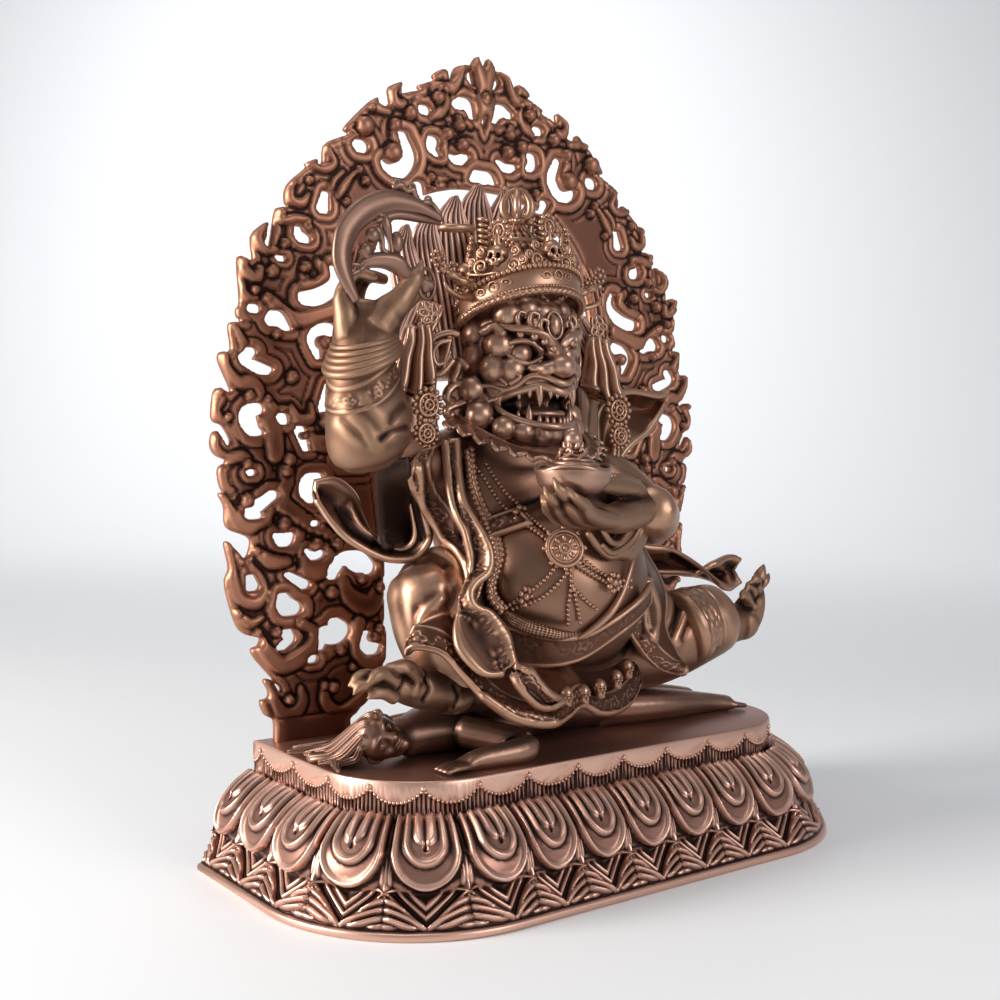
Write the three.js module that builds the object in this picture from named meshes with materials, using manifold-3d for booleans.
// A cast bronze-finished figure of a wrathful guardian, seated on a prone body on a lotus plinth,
// with a pierced flame aureole standing behind. Millimetres, +Z up. The figure faces -Y, and the
// origin is the middle of the plinth's underside.
import * as THREE from 'three';
import { mergeVertices } from 'three/addons/utils/BufferGeometryUtils.js';
import Module from 'manifold-3d';

const wasm = await Module();
wasm.setup();

// Driving dimensions
const fitGap = 0.3; // between two castings that touch

const slabWidth = 166.4; // the plinth's top
const slabDepth = 76.6;
const slabCorner = 31; // radius of its two front corners
const slabThick = 10.5;
const lotusHeight = 26; // from the ground to the slab
const lotusFlare = 18.2; // how far the foot stands out past the slab
const rimHeight = 2.2;
const petalCount = 17; // on the three open sides
const petalShares = [0, 0.12, 0.244, 0.36, 0.47, 0.573, 0.68, 0.821, 0.964, 1.036]; // from the front's middle

const aureoleInset = 1.9; // the roots of its outermost flames, in from the lotus's foot on each side
const aureoleHeight = 223.5; // from the slab to the tip
const aureoleThick = 3;
const aureoleSetback = 6.7; // its front face from the slab's back edge
const tabWidth = 27;
const tabDepth = 5.5; // how deep a tab stands in the slab
const tabInset = 3.9; // a tab's outer edge, in from the slab's side

const figureHeight = 174.5; // from the slab to the tip of the hair
const figureShift = 5.3; // the figure's own middle from the plinth's middle
const bladeThick = 2.4;
const cupRadius = 10.8;
const cupWall = 1.6;

// Worked out from them
const slabTop = lotusHeight + slabThick;
const footDepth = slabDepth + lotusFlare;
const plinthBack = footDepth / 2;
const slabFront = plinthBack - slabDepth;
const cornerCentreX = slabWidth / 2 - slabCorner;
const cornerCentreY = slabFront + slabCorner;
const plateFront = plinthBack - aureoleSetback;
const aureoleWidth = slabWidth + 2 * (lotusFlare - aureoleInset);
const tabOuter = slabWidth / 2 - tabInset;

const bronze = { metalness: 0.85, roughness: 0.42 };
const finish = {
  plinth: new THREE.MeshStandardMaterial({ color: 0x8a5f4c, ...bronze }),
  aureole: new THREE.MeshStandardMaterial({ color: 0x86523c, ...bronze }),
  figure: new THREE.MeshStandardMaterial({ color: 0x8c6450, ...bronze }),
  blade: new THREE.MeshStandardMaterial({ color: 0x8f6c55, ...bronze }),
  cup: new THREE.MeshStandardMaterial({ color: 0x7d5142, ...bronze }),
};

// Solids from three.js geometry
function solid(geometry) {
  const bare = geometry.clone();
  bare.deleteAttribute('normal');
  bare.deleteAttribute('uv');
  const merged = mergeVertices(bare, 1e-4);
  return new wasm.Manifold(
    new wasm.Mesh({
      numProp: 3,
      vertProperties: new Float32Array(merged.attributes.position.array),
      triVerts: new Uint32Array(merged.index.array),
    }),
  );
}

function join(solids) {
  return solids.reduce((whole, next) => whole.add(next));
}

function meshOf(name, made, material) {
  const raw = made.getMesh();
  const geometry = new THREE.BufferGeometry();
  geometry.setAttribute('position', new THREE.BufferAttribute(raw.vertProperties, 3));
  geometry.setIndex(new THREE.BufferAttribute(raw.triVerts, 1));
  geometry.computeVertexNormals();
  const mesh = new THREE.Mesh(geometry, material);
  mesh.name = name;
  return mesh;
}

// A round-ended form along stations [x, y, z, half width, half depth], laid on a sphere's rings.
// `across` is the way its width runs, for flat forms such as cloth.
function limb(stations, { sides = 7, across = null, cap = 0.6 } = {}) {
  const rings = stations.length;
  const geometry = new THREE.SphereGeometry(1, sides, rings + 1);
  const spots = stations.map(([x, y, z]) => new THREE.Vector3(x, y, z));
  const position = geometry.attributes.position;
  for (let i = 0; i < position.count; i++) {
    const row = Math.floor(i / (sides + 1));
    const turn = ((i % (sides + 1)) % sides) * ((2 * Math.PI) / sides);
    const ring = Math.min(Math.max(row - 1, 0), rings - 1);
    const before = spots[Math.max(ring - 1, 0)];
    const along = spots[Math.min(ring + 1, rings - 1)].clone().sub(before).normalize();
    const hint = across ? new THREE.Vector3(...across) : new THREE.Vector3(0.31, 0.93, 0.17);
    const side = hint.addScaledVector(along, -hint.dot(along)).normalize();
    const face = new THREE.Vector3().crossVectors(along, side);
    const [, , , wide, deep = wide] = stations[ring];
    const domed = cap * Math.max(wide, deep) * (across ? 0.3 : 1);
    const point = spots[ring].clone();
    if (row === 0) point.addScaledVector(along, -domed);
    else if (row === rings + 1) point.addScaledVector(along, domed);
    else point.addScaledVector(side, wide * Math.cos(turn)).addScaledVector(face, deep * Math.sin(turn));
    position.setXYZ(i, point.x, point.y, point.z);
  }
  const made = solid(geometry);
  return made.volume() > 0 ? made : solid(turnedInsideOut(geometry));
}

function turnedInsideOut(geometry) {
  const index = geometry.index.array;
  for (let i = 0; i < index.length; i += 3) [index[i + 1], index[i + 2]] = [index[i + 2], index[i + 1]];
  return geometry;
}

function blob(x, y, z, rx, ry = rx, rz = rx, turn = [0, 0, 0], round = 7) {
  const geometry = new THREE.SphereGeometry(1, round, round - 2);
  geometry.rotateX(Math.PI / 2).scale(rx, ry, rz);
  geometry.applyMatrix4(new THREE.Matrix4().makeRotationFromEuler(new THREE.Euler(...turn)));
  return solid(geometry.translate(x, y, z));
}

function block(lowX, lowY, lowZ, highX, highY, highZ) {
  const geometry = new THREE.BoxGeometry(highX - lowX, highY - lowY, highZ - lowZ);
  return solid(geometry.translate((lowX + highX) / 2, (lowY + highY) / 2, (lowZ + highZ) / 2));
}

// The plinth: a slab on a lotus, flat at the back and round at its front corners.
// A place on the slab's edge with the way that faces out, at a run of -1 to 1 round the open sides.
function edgeAt(run) {
  const side = plinthBack - cornerCentreY;
  const corner = (Math.PI / 2) * slabCorner;
  const petal = Math.abs(run) * (petalCount / 2);
  const before = Math.floor(petal);
  const share = THREE.MathUtils.lerp(petalShares[before], petalShares[before + 1], petal - before);
  const far = (cornerCentreX + corner + side) * share;
  const sign = Math.sign(run);
  if (far <= cornerCentreX) return [sign * far, slabFront, 0, -1];
  const past = far - cornerCentreX - corner;
  if (past >= 0) return [sign * (slabWidth / 2), Math.min(cornerCentreY + past, plinthBack), sign, 0];
  const turn = (far - cornerCentreX) / slabCorner;
  const way = [Math.sin(turn) * sign, -Math.cos(turn)];
  return [sign * cornerCentreX + slabCorner * way[0], cornerCentreY + slabCorner * way[1], ...way];
}

// The lotus from the ground up as [share out, share up] at a petal's middle and between two petals.
const lotusRows = [
  [[1, 0], [1, 0]], [[1, 0.09], [1, 0.09]], [[0.86, 0.12], [0.93, 0.12]], [[0.62, 0.38], [0.8, 0.34]],
  [[0.76, 0.46], [0.58, 0.56]], [[0.5, 0.83], [0.34, 0.78]], [[0.1, 1], [0.02, 1]],
];

function lotus() {
  const stepsPerPetal = 4;
  const count = petalCount * stepsPerPetal;
  const edge = Array.from({ length: count + 1 }, (_, i) => {
    const petalShare = (i % stepsPerPetal) / stepsPerPetal;
    return { spot: edgeAt((2 * i) / count - 1), between: Math.abs(2 * petalShare - 1) ** 1.6 };
  });
  const shape = new THREE.Shape(edge.map(({ spot }) => new THREE.Vector2(spot[0], spot[1])));
  const rows = lotusRows.length - 1;
  const made = new THREE.ExtrudeGeometry(shape, { depth: rows, steps: rows, bevelEnabled: false });
  const position = made.attributes.position;
  for (let i = 0; i < position.count; i++) {
    const { spot, between } = edge.reduce((best, next) =>
      Math.hypot(next.spot[0] - position.getX(i), next.spot[1] - position.getY(i))
        < Math.hypot(best.spot[0] - position.getX(i), best.spot[1] - position.getY(i)) ? next : best);
    const [middle, side] = lotusRows[Math.round(position.getZ(i))];
    const out = THREE.MathUtils.lerp(middle[0], side[0], between) * lotusFlare;
    const up = THREE.MathUtils.lerp(middle[1], side[1], between) * lotusHeight;
    position.setXYZ(i, spot[0] + out * spot[2], spot[1] + out * spot[3], up);
  }
  return solid(made);
}

function slab() {
  const edge = Array.from({ length: 25 }, (_, i) => edgeAt(i / 12 - 1));
  const corners = edge.filter(([, , wayX, wayY], i) => i === 0 || i === 24 || wayX * wayY !== 0);
  const starts = [-1, 1].flatMap((sign) => [
    [sign * slabWidth / 2, cornerCentreY], [sign * cornerCentreX, slabFront],
  ]);
  const points = [...corners, ...starts].map(([x, y]) => new THREE.Vector2(x, y));
  const turnOf = ({ x, y }) => Math.atan2(x, cornerCentreY + 30 - y);
  const outline = new THREE.Shape(points.sort((p, q) => turnOf(p) - turnOf(q)));
  const made = new THREE.ExtrudeGeometry(outline, { depth: slabThick + 0.5, bevelEnabled: false });
  return solid(made.translate(0, 0, lotusHeight - 0.5));
}

// The prone body on the slab, drawn for a slab 166.4 wide: x and y on the slab, z above it.
function proneBody(grow = 0) {
  const share = slabWidth / 166.4;
  const on = (rows) => rows.map(([x, y, z, wide, deep = wide]) => [
    x * share, y * share, slabTop + z * share, wide * share + grow, deep * share + grow,
  ]);
  const slim = { sides: 5 };
  const head = on([[-61, 1, 7, 8, 7]])[0];
  return join([
    limb(on([
      [-58, 1, 6, 5.5], [-44, 4, 7, 11, 7.5], [-24, 5, 7.5, 13, 8.5], [0, 7, 7, 11, 7.5], [22, 8, 6, 13, 7.5],
    ]), { across: [0, 1, 0] }),
    limb(on([[-41, -6, 7, 5], [-31, -22, 4, 4.2], [-48, -22, 2.6, 3], [-58, -21.5, 1.4, 3.6, 1.6]]), slim),
    limb(on([[-41, 14, 6, 5], [-28, 25, 4, 4.2], [-42, 32, 2.4, 3.2], [-51, 33, 1.6, 3.6, 1.8]]), slim),
    limb(on([[16, 3, 5.5, 7], [40, -3, 5, 5.6], [64, -3, 3.4, 3.8], [75, -4, 2.4, 4, 2.4]]), slim),
    limb(on([[16, 13, 5.5, 7], [38, 18, 5, 5.6], [60, 16, 3.4, 3.8], [75, 15, 2.4, 4, 2.4]]), slim),
    blob(head[0], head[1], head[2], head[3], head[4], 7 * share + grow, [0, 0.2, 0.3]),
    ...[[-62, 31], [-77, 25], [-76, 5]].map(([tipX, tipY]) => limb(on([
      [-63, 3, 6, 4.6], [tipX * 0.5 - 34, tipY * 0.55 + 2, 4.4, 3.6], [tipX, tipY, 1.2, 1.2],
    ]), { sides: 4 })),
  ]);
}

function plinth() {
  let made = join([lotus(), slab(), proneBody()]);
  for (const side of [-1, 1]) {
    const outer = side * (tabOuter + fitGap);
    const inner = side * (tabOuter - tabWidth - fitGap);
    made = made.subtract(block(
      Math.min(outer, inner), plateFront - fitGap, slabTop - tabDepth - fitGap,
      Math.max(outer, inner), plateFront + aureoleThick + fitGap, slabTop + 3,
    ));
  }
  return made;
}

// The aureole, drawn for a plate 201 wide and 223.5 high: x from the middle, z above the slab.
const outerEdge = [
  [81.5, 13], [87.5, 29], [94.5, 48], [98, 62], [99.8, 80], [100.5, 98], [98, 116], [93, 134], [88, 148],
  [82, 160], [74.5, 172], [64.5, 183], [54, 193], [39, 204], [24, 212], [10, 217],
];
const innerEdge = [
  [40, 14], [40, 54], [43, 80], [48, 110], [49, 130], [46, 146], [40, 160], [27, 172], [13, 177], [0, 178],
];
// Openings of one half: [x, z, half width, half height, the way a curl comes in, in degrees]
const piercings = [
  [47.5, 27, 4.2, 3.8, 60], [59.5, 32, 6, 4.8, 120], [76.5, 31, 4.2, 3, 90], [67.2, 23, 2.6, 2],
  [76.1, 42, 4.6, 3.8, -20], [87.5, 50, 2.8, 3.6], [52, 54, 7.6, 4.4, -90], [69, 49, 3.6, 2.2],
  [65, 60, 4.4, 3.2, 110], [77, 63, 4.2, 3.6, 90], [86, 74, 5, 3, 60], [67.5, 77.5, 6, 5.2, -150],
  [55, 86.5, 6.4, 2.8], [71, 92.5, 3, 3], [88.5, 97, 4.6, 5.4, 90], [62.5, 103.5, 3.6, 4.4],
  [77, 103, 2.8, 2.8], [86, 114.5, 4.6, 3.8, 150], [64.5, 122, 6.4, 5.6, 180], [80, 129, 4.4, 3.8, -90],
  [65.4, 141, 7.8, 6.6, 90], [81, 142, 3, 2.2], [72, 156, 4, 3.4, -60], [57, 158, 4.6, 4, 30],
  [62, 171, 3.2, 4], [39.5, 184, 7, 7.6, 0], [54, 183, 3, 3], [28.5, 200.5, 3, 3], [13.4, 206, 6, 3.6, -90],
  [24.5, 189, 3.8, 3.4], [10, 189, 4.6, 3.4],
];

function smooth(points, steps) {
  const curve = new THREE.CatmullRomCurve3(points.map(([x, z]) => new THREE.Vector3(x, z, 0)));
  return curve.getSpacedPoints(steps).map((p) => [p.x, p.y]);
}

// Flame tongues along the outer edge: each leans up and ends in a hooked point.
function flameEdge(tongues) {
  const tongue = [[0, 0], [0.42, 2.4], [0.98, 5.2], [0.86, 1.2]];
  const along = new THREE.CatmullRomCurve3(outerEdge.map(([x, z]) => new THREE.Vector3(x, z, 0)));
  const points = [];
  for (let i = 0; i < tongues; i++)
    for (const [run, out] of tongue) {
      const t = (i + run) / tongues;
      const at = along.getPointAt(t);
      const way = along.getTangentAt(t);
      const reach = (out - 2.4) * (i % 2 ? 0.7 : 1);
      points.push([at.x + way.y * reach, at.y - way.x * reach]);
    }
  return points;
}

// One opening: an oval, or a crescent where a curl comes into it.
function piercing([x, z, wide, high, curl]) {
  const points = [];
  const count = curl === undefined ? 5 : 7;
  for (let i = 0; i < count; i++) {
    const turn = (2 * Math.PI * i) / count + THREE.MathUtils.degToRad(curl ?? 0);
    let reach = 1;
    if (curl !== undefined) {
      const turned = turn - THREE.MathUtils.degToRad(curl) + Math.PI;
      const away = THREE.MathUtils.euclideanModulo(turned, 2 * Math.PI) - Math.PI;
      reach = 1 - 1.1 * Math.exp(-((away / 0.6) ** 2));
    }
    points.push([x + wide * reach * Math.cos(turn), z + high * reach * Math.sin(turn)]);
  }
  return points;
}

function aureole() {
  const wide = aureoleWidth / 201;
  const high = aureoleHeight / 223.5;
  const half = flameEdge(17);
  const tip = [[3.2, 217.5], [1.6, 223.5], [-1.4, 219]];
  const mirror = (points) => points.map(([x, z]) => [-x, z]).reverse();
  const spot = ([x, z]) => new THREE.Vector2(x * wide, slabTop + z * high);
  const foot = (side) => [
    [side * (tabOuter - tabWidth), slabTop - tabDepth], [side * tabOuter, slabTop - tabDepth],
  ].map(([x, z]) => new THREE.Vector2(x, z));
  const inner = smooth(innerEdge, 14);
  const shape = new THREE.Shape([
    ...foot(1),
    ...[[tabOuter / wide, 11.5], ...half, ...tip, ...mirror(half), [-tabOuter / wide, 11.5]].map(spot),
    ...foot(-1).reverse(),
    ...[[-(tabOuter - tabWidth) / wide, 6.5], ...mirror(inner).reverse(), ...inner.slice(0, -1).reverse(),
      [(tabOuter - tabWidth) / wide, 6.5]].map(spot),
  ]);
  const oneSide = piercings.map(piercing);
  const openings = [...oneSide, ...oneSide.map(mirror), piercing([0, 200, 3, 4.6])];
  shape.holes = openings.map((points) => new THREE.Path(points.map(spot)));
  const plate = new THREE.ExtrudeGeometry(shape, { depth: aureoleThick, bevelEnabled: false });
  return solid(plate.rotateX(Math.PI / 2).translate(0, plateFront + aureoleThick, 0));
}

// The seated figure, drawn 171 high: x and y on the slab, z above it.
const unit = figureHeight / 171;
const place = (rows) => rows.map(([x, y, z, wide, deep = wide]) => [
  x * unit + figureShift, y * unit, slabTop + z * unit, wide * unit, deep * unit,
]);
const part = (rows, options) => limb(place(rows), options);
const ball = (x, y, z, rx, ry = rx, rz = rx, turn = [0, 0, 0], round = 7) =>
  blob(x * unit + figureShift, y * unit, slabTop + z * unit, rx * unit, ry * unit, rz * unit, turn, round);

const headX = -16; // the head's middle
const headY = 5;
const bothSides = (make) => [-1, 1].map(make);

function torso() {
  return [
    ball(-12, 8, 25, 41, 25, 15, [0, 0, 0], 8),
    ball(-10, -1, 47, 31, 28, 29, [0, 0, 0], 10),
    ball(-13, 11, 72, 32, 21, 32, [0, 0, 0], 8),
    part([[-15, 8, 88, 13], [headX, headY, 96, 13]], { sides: 5 }),
  ];
}

function legs() {
  const toe = (rows) => part(rows, { sides: 3 });
  const toes = [0, 1, 2, 3, 4];
  return [
    part([[-22, 6, 30, 17], [-42, 4, 42, 15], [-50, 2, 46, 13]], { sides: 7 }),
    part([[-51, 1, 47, 12], [-50, -2, 34, 11], [-47, -4, 20, 7.5]], { sides: 7 }),
    part([[-46, -5, 20, 7.5], [-72, -6, 20, 6.4, 4.6]], { sides: 6 }),
    part([[-2, 5, 27, 16], [26, -2, 26, 15], [47, -8, 31, 12.5], [52, -9, 33, 11.5]], { sides: 7 }),
    part([[50, -9, 31, 8], [67, -12, 34, 7]], { sides: 6 }),
    part([[66, -12, 32, 7], [69, -12, 45, 6, 3.6]], { sides: 6 }),
    ...toes.map((i) => toe([
      [-71, -11 + i * 2.6, 21 + i * 0.4, i ? 2.1 : 2.9], [-80 - 2 * Math.sin(i), -11.5 + i * 2.7, 25, 1.5],
    ])),
    ...toes.map((i) => toe([
      [68.5, -17 + i * 2.6, 44, i ? 2.1 : 2.9], [73, -17.5 + i * 2.7, 52 - i, 1.5],
    ])),
  ];
}

function arms() {
  const finger = (rows) => part(rows, { sides: 3 });
  return [
    part([[-34, 12, 84, 11], [-54, 8, 81, 9.5], [-69, 4, 83, 9]], { sides: 6 }),
    part([[-71, 3, 80, 9], [-73.5, 2, 92, 10.6], [-76, 1, 115, 9]], { sides: 8, cap: 0.25 }),
    part([[-76, 1, 112, 7], [-79, 0, 121, 6.4], [-80, 0, 127, 7.6, 5]], { sides: 6 }),
    part([[-80, 0, 123, 6.5, 4.4], [-71, -2, 125.5, 5], [-60, -5, 133, 3]], { sides: 4 }),
    ...[0, 1, 2].map((i) => finger([
      [-84 + i * 3, 1 + i, 126, 3], [-86 + i * 3, 3 + i, 135, 2.3], [-82 + i * 3.4, 2 + i, 143, 1],
    ])),
    part([[8, 12, 84, 11], [21, 3, 75, 9.5], [23, -8, 67, 8.5], [15, -20, 67, 8], [7, -27.5, 70, 7.5]]),
    part([[18, -18, 62, 8, 5], [10, -25, 58, 7, 4], [6, -27, 54.5, 5, 2.4]], { sides: 6 }),
    part([[10, -27, 70, 6], [2, -31, 72, 5.6], [-20.5, -35, 70, 6.5, 4]], { sides: 6 }),
    part([[4, -30, 74, 4], [-3.5, -27.5, 80, 3], [-12.5, -28, 81, 1.2]], { sides: 4 }),
    ...[0, 1, 2, 3].map((i) => finger([
      [-19.5 - i * 1.2, -32 - i * 1.6, 69 + i * 1.2, 2.8], [-34.5 - i, -43 + i * 3, 71 + i, 2.2],
      [-43 + i, -43 + i * 3.6, 79 + i, 0.9],
    ])),
  ];
}

// The face's lumps, on one side of its middle: [out, y, up, size]
const faceLumps = [
  [5.6, -16, 127, 5.6], [14, -10, 125, 6.2], [17.5, -3, 114, 6.2], [12, -13, 109, 5.4],
  [18, -2, 101, 6.6], [12, -8, 90, 6.4],
];

function head() {
  const lip = (rows) => part(rows, { sides: 4 });
  const lump = (...place) => ball(...place, [0, 0, 0], 6);
  const skull = join([
    ball(headX, headY, 112, 18, 18, 25, [0, 0, 0], 8),
    ball(headX, -5, 99, 13, 12, 13, [0, 0, 0], 6),
    ...bothSides((side) => faceLumps.map(([out, y, z, size]) => lump(headX + side * out, y, z, size, size, size)))
      .flat(),
  ]);
  return [
    skull.subtract(ball(headX, -18, 98.5, 9, 9, 4.8, [0.1, 0, 0], 7)),
    lump(headX, -18, 110.5, 4.6, 4.6, 4.4),
    lip([
      [-26, -12, 96, 1.6], [-22, -16.5, 103, 1.9], [headX, -18.5, 104.5, 2.2], [-10, -16.5, 103, 1.9],
      [-6, -12, 96, 1.6],
    ]),
    lip([[-25, -12, 96, 1.5], [-21, -15.5, 93, 1.8], [-11, -15.5, 93, 1.8], [-7, -12, 96, 1.5]]),
    ...bothSides((side) => [
      lip([
        [headX + side * 2.5, -16.5, 117.5, 1.8], [headX + side * 7, -16.6, 120.4, 2.2],
        [headX + side * 12.5, -13, 119.5, 1.8],
      ]),
      part([[headX + side * 5.6, -16.5, 103, 1.6], [headX + side * 5.4, -17, 97.8, 0.6]], { sides: 3 }),
      lip([[headX + side * 19.5, 6, 119, 2, 4], [headX + side * 20.5, 4, 92, 2.6]]),
      lump(headX + side * 21.5, 1, 84, 3.6, 3, 6),
      lip([[headX + side * 24, 12, 127, 9, 4], [headX + side * 27, 11, 110, 8, 4], [headX + side * 24, 9, 84, 8, 4]]),
    ]).flat(),
  ];
}

function crown() {
  const tilt = 0.3;
  const profile = [[17, -5], [20, -5], [21.4, 5], [18.4, 5], [17, -5]];
  const band = new THREE.LatheGeometry(profile.map(([r, z]) => new THREE.Vector2(r * unit, z * unit)), 12);
  band.rotateX(Math.PI / 2).rotateX(-tilt).translate(headX * unit + figureShift, headY * unit, slabTop + 132 * unit);
  const pieces = [solid(band)];
  for (const turn of [-1.15, -0.58, 0, 0.58, 1.15]) {
    const x = headX + 19.6 * Math.sin(turn);
    const y = headY - 18.5 * Math.cos(turn);
    const lift = 138 + 8 * Math.cos(turn);
    pieces.push(part([
      [x, y + 1, lift - 7, 4, 3], [x, y, lift, 5.6, 4.4], [x, y + 2.4, lift + 5, 5, 2],
      [x, y + 2.4, lift + 11, 2.4, 1.6],
    ], { sides: 4, across: [Math.cos(turn), Math.sin(turn), 0] }));
  }
  pieces.push(part([
    [headX, 8, 130, 14], [headX, 8, 150, 4.4], [headX, 8, 156, 5.4], [headX, 8, 164, 1.8],
  ], { sides: 6 }));
  return pieces;
}

function hair() {
  const locks = [ // [root x, tip x, tip height, width]
    [-36, -52, 143, 7], [-31, -45, 156, 7.5], [-24, -33, 166, 8],
    [-16, -20, 171, 8], [-8, -6, 167, 8], [-1, 6, 156, 7.5], [3, 13, 143, 7],
  ];
  return locks.map(([root, tip, top, wide]) => part([
    [root, 16, 120, wide * 1.1, 7], [tip + (tip < headX ? 1.5 : -1.5), 21, top - 12, wide * 0.8, 5],
    [tip, 19, top - 1.6, 1.4, 1.2],
  ], { sides: 4, across: [1, 0, 0] }));
}

// The robe: lapels down both sides of the belly, the hem over the seat, sashes and scarves.
function robe() {
  const cloth = (across, thick, rows) =>
    part(rows.map(([x, y, z, wide]) => [x, y, z, wide, thick]), { sides: 4, across });
  return [
    cloth([1, -0.5, 0.2], 2, [
      [-40, -6, 85, 4], [-43, -13, 68, 5], [-41, -18, 57, 6], [-47, -18, 46, 7], [-47, -22, 32, 8],
      [-38, -27, 21, 8], [-26, -30, 16, 6],
    ]),
    cloth([1, 0.3, 0.1], 2, [
      [10, -10, 80, 4], [19, -15, 62, 5], [21, -17, 50, 6], [24, -17, 38, 7], [30, -17, 27, 8], [38, -17, 20, 4],
    ]),
    cloth([0, -0.5, 0.86], 1.8, [
      [-56, -10, 27, 7], [-47, -21, 21, 8], [-34, -25, 17, 8], [-18, -26, 16, 8], [0, -23, 15, 8],
      [14, -14, 15, 7], [22, -4, 16, 6],
    ]),
    cloth([0.4, 0.2, 0.9], 1.2, [
      [-50, 12, 88, 6], [-53, 8, 70, 8], [-54, 8, 57, 9], [-64, 12, 58, 8], [-76, 16, 67, 8], [-80, 17, 71, 5],
    ]),
    cloth([0.3, 0.2, -0.9], 1.2, [
      [20, 14, 80, 6], [33, 12, 84, 8], [42, 12, 94, 9], [50, 13, 103, 7], [54, 14, 107, 3],
    ]),
    cloth([0.2, -0.6, 0.8], 1.2, [
      [10, 10, 58, 8], [42, 6, 54, 8], [60, 4, 47, 6], [74, 2, 43, 7], [81, 1, 45, 4],
    ]),
    ball(-25, -23.8, 59, 5.6, 2.2, 5.8, [0.2, 0, -0.5], 6),
    ...[0, 1, 2, 3, 4].map((i) =>
      ball(-21 + i * 9.4, -26 + i * i * 0.9, 19.5 + i * 0.4, 3.6, 3.4, 4.2, [0, 0, 0], 5)),
  ];
}

// The knife: a crescent blade on a short handle, held in the raised hand.
const bladeCentre = [-68.5, -4, 142];
const handleEnd = [-58, -8, 131];

function knife(grow = 0) {
  const steps = 11;
  const sweep = 205 + 12 * grow;
  const turnAt = (i) => THREE.MathUtils.degToRad(35 - 6 * grow + (sweep * i) / steps);
  const spot = (i, share, added) => new THREE.Vector2(
    (17 * share + added) * Math.cos(turnAt(i)), (17.6 * share + added) * Math.sin(turnAt(i)),
  );
  const outer = Array.from({ length: steps + 1 }, (_, i) => spot(i, 1, grow * 1.5));
  const inner = Array.from({ length: steps - 1 }, (_, i) => steps - 1 - i)
    .map((at) => spot(at, 1 - 0.52 * Math.sin((Math.PI * at) / steps), -grow * 1.5));
  const thick = bladeThick / unit + 2 * grow;
  const outline = new THREE.Shape([...outer, ...inner]);
  const blade = new THREE.ExtrudeGeometry(outline, { depth: thick, bevelEnabled: false });
  blade.translate(0, 0, -grow).rotateX(Math.PI / 2).rotateZ(-0.15).scale(unit, unit, unit);
  const [x, y, z] = bladeCentre;
  blade.translate(x * unit + figureShift, y * unit, slabTop + z * unit);
  const [endX, endY, endZ] = handleEnd;
  const wider = grow * 1.4;
  const stem = (rows) => part(rows.map(([px, py, pz, wide]) => [px, py, pz, wide + wider]), { sides: 5, cap: 0.7 });
  return join([
    solid(blade),
    stem([
      [x - 2, y, z - 3, 1.8], [x + 4, y - 1, z - 8, 2], [endX, endY, endZ, 2.2], [endX + 3, endY, endZ - 1, 3.4],
    ]),
    stem([[x - 2, y, z - 3, 3], [x - 11, y + 1, z + 2, 2]]),
    stem([[x - 1, y, z - 3, 2.4], [x - 4, y, z + 10, 1.6]]),
  ]);
}

// The skull cup: a thin bowl that rests in the palm, with its offering heaped in it.
const cupPlace = [-29.8 * unit + figureShift, -35.2 * unit, slabTop + 74 * unit];

function cupOuter(grow = 0) {
  const profile = [[0.3, 0], [0.62, 0.14], [0.88, 0.4], [1, 0.76]];
  return profile.map(([r, z]) => [r * cupRadius + grow, z * cupRadius - grow]);
}

function cup() {
  const outer = cupOuter();
  const lip = outer.at(-1)[1];
  const rows = [
    [0, 0], ...outer, [cupRadius - cupWall, lip], [cupRadius - cupWall, lip - 1],
    [cupRadius * 0.62, lip + 2], [cupRadius * 0.3, lip + 4.5], [cupRadius * 0.16, lip + 5.4],
    [cupRadius * 0.3, lip + 7.4], [cupRadius * 0.24, lip + 9], [0, lip + 10],
  ];
  const bowl = new THREE.LatheGeometry(rows.map(([r, z]) => new THREE.Vector2(r, z)), 12);
  return solid(bowl.rotateX(Math.PI / 2)).translate(cupPlace);
}

function cupRoom() {
  const rows = [[0, -fitGap], ...cupOuter(fitGap), [cupRadius + fitGap, cupRadius * 2.4], [0, cupRadius * 2.4]];
  const room = new THREE.LatheGeometry(rows.map(([r, z]) => new THREE.Vector2(r, z)), 12);
  return solid(room.rotateX(Math.PI / 2)).translate(cupPlace);
}

function figure() {
  const whole = join([...torso(), ...legs(), ...arms(), ...head(), ...crown(), ...hair(), ...robe()]);
  const room = block(-slabWidth, -footDepth, -slabTop, slabWidth, plinthBack, slabTop + fitGap);
  const behind = block(-slabWidth, plateFront - fitGap, 0, slabWidth, plinthBack * 2, slabTop + figureHeight * 2);
  const cutters = [proneBody(fitGap), room, behind, cupRoom(), knife(fitGap)];
  const cut = cutters.reduce((left, cutter) => left.subtract(cutter), whole);
  return cut.decompose().sort((p, q) => q.volume() - p.volume())[0];
}

const statue = new THREE.Group();
statue.add(
  meshOf('lotus_plinth', plinth(), finish.plinth),
  meshOf('flame_aureole', aureole(), finish.aureole),
  meshOf('guardian_figure', figure(), finish.figure),
  meshOf('flaying_knife', knife(), finish.blade),
  meshOf('skull_cup', cup(), finish.cup),
);

export default statue;
